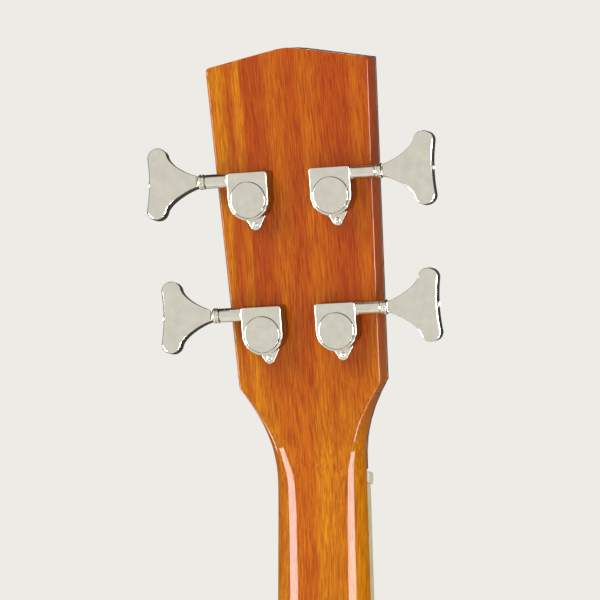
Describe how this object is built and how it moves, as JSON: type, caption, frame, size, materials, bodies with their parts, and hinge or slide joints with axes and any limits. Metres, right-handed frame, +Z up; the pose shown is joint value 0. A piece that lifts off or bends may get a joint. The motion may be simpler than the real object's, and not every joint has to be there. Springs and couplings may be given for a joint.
{
  "type": "acoustic bass guitar",
  "caption": "Full acoustic bass guitar with hollow wooden body, pitched headstock and worm-geared tuners whose keys turn the string posts.",
  "frame": {"origin": "the place under the headstock's shoulders, on the centre line, where a hanger's yoke holds the neck", "axes": "+Z up along the neck to the headstock, +Y to the back of the body, +X to the treble side"},
  "size_m": [0.432, 0.1401, 1.1846],
  "materials": {
    "amber_mahogany": "high gloss lacquer",
    "rosewood": "oiled",
    "spruce": "gloss lacquer",
    "pale_wood": "bare",
    "cream_binding": "gloss",
    "bone": "polished",
    "chrome": "satin bright",
    "brass": "machined",
    "steel": "drawn",
    "bronze": "wound wire",
    "black_plate": "gloss"
  },
  "bodies": {
    "instrument": {"neck": "amber_mahogany", "headstock_veneer": "rosewood", "truss_rod": "steel", "truss_rod_cover": "black_plate", "nut": "bone", "fingerboard": "rosewood", "fingerboard_binding": "cream_binding", "soundboard": "spruce", "back": "amber_mahogany", "sides": "amber_mahogany", "top_binding": "cream_binding", "back_binding": "cream_binding", "top_lining": "pale_wood", "back_lining": "pale_wood", "x_brace": "spruce", "soundhole_brace": "spruce", "upper_back_brace": "spruce", "lower_back_brace": "spruce", "neck_block": "pale_wood", "tail_block": "pale_wood", "bridge_plate": "pale_wood", "bridge": "rosewood", "saddle": "bone", "bridge_pin_e": "bone", "bridge_pin_a": "bone", "bridge_pin_d": "bone", "bridge_pin_g": "bone", "string_e": "bronze", "string_a": "bronze", "string_d": "bronze", "string_g": "steel", "end_pin": "rosewood", "tuner_housing_e": "chrome", "tuner_cover_e": "chrome", "post_bushing_e": "chrome", "tuner_housing_a": "chrome", "tuner_cover_a": "chrome", "post_bushing_a": "chrome", "tuner_housing_d": "chrome", "tuner_cover_d": "chrome", "post_bushing_d": "chrome", "tuner_housing_g": "chrome", "tuner_cover_g": "chrome", "post_bushing_g": "chrome"},
    "key_e": {"tuner_key_e": "chrome", "worm_shaft_e": "chrome"},
    "post_e": {"string_post_e": "chrome", "worm_wheel_e": "brass"},
    "key_a": {"tuner_key_a": "chrome", "worm_shaft_a": "chrome"},
    "post_a": {"string_post_a": "chrome", "worm_wheel_a": "brass"},
    "key_d": {"tuner_key_d": "chrome", "worm_shaft_d": "chrome"},
    "post_d": {"string_post_d": "chrome", "worm_wheel_d": "brass"},
    "key_g": {"tuner_key_g": "chrome", "worm_shaft_g": "chrome"},
    "post_g": {"string_post_g": "chrome", "worm_wheel_g": "brass"}
  },
  "joints": [
    {"name": "key_turn_e", "type": "hinge", "parent": "instrument", "child": "key_e", "pos_m": [-0.0176, 0.02996, 0.04828], "axis": [-1, 0, 0], "continuous": true},
    {"name": "post_turn_e", "type": "hinge", "parent": "instrument", "child": "post_e", "pos_m": [-0.0176, 0.02144, 0.04066], "axis": [0, 0.9724, -0.2334], "continuous": true},
    {"name": "key_turn_a", "type": "hinge", "parent": "instrument", "child": "key_a", "pos_m": [-0.0196, 0.04443, 0.10857], "axis": [-1, 0, 0], "continuous": true},
    {"name": "post_turn_a", "type": "hinge", "parent": "instrument", "child": "post_a", "pos_m": [-0.0196, 0.03591, 0.10094], "axis": [0, 0.9724, -0.2334], "continuous": true},
    {"name": "key_turn_d", "type": "hinge", "parent": "instrument", "child": "key_d", "pos_m": [0.0196, 0.04443, 0.10857], "axis": [1, 0, 0], "continuous": true},
    {"name": "post_turn_d", "type": "hinge", "parent": "instrument", "child": "post_d", "pos_m": [0.0196, 0.03591, 0.10094], "axis": [0, 0.9724, -0.2334], "continuous": true},
    {"name": "key_turn_g", "type": "hinge", "parent": "instrument", "child": "key_g", "pos_m": [0.0176, 0.02996, 0.04828], "axis": [1, 0, 0], "continuous": true},
    {"name": "post_turn_g", "type": "hinge", "parent": "instrument", "child": "post_g", "pos_m": [0.0176, 0.02144, 0.04066], "axis": [0, 0.9724, -0.2334], "continuous": true}
  ],
  "couplings": [
    {"joint": "post_turn_e", "follows": "key_turn_e", "ratio": -0.0625},
    {"joint": "post_turn_a", "follows": "key_turn_a", "ratio": -0.0625},
    {"joint": "post_turn_d", "follows": "key_turn_d", "ratio": -0.0625},
    {"joint": "post_turn_g", "follows": "key_turn_g", "ratio": -0.0625}
  ]
}
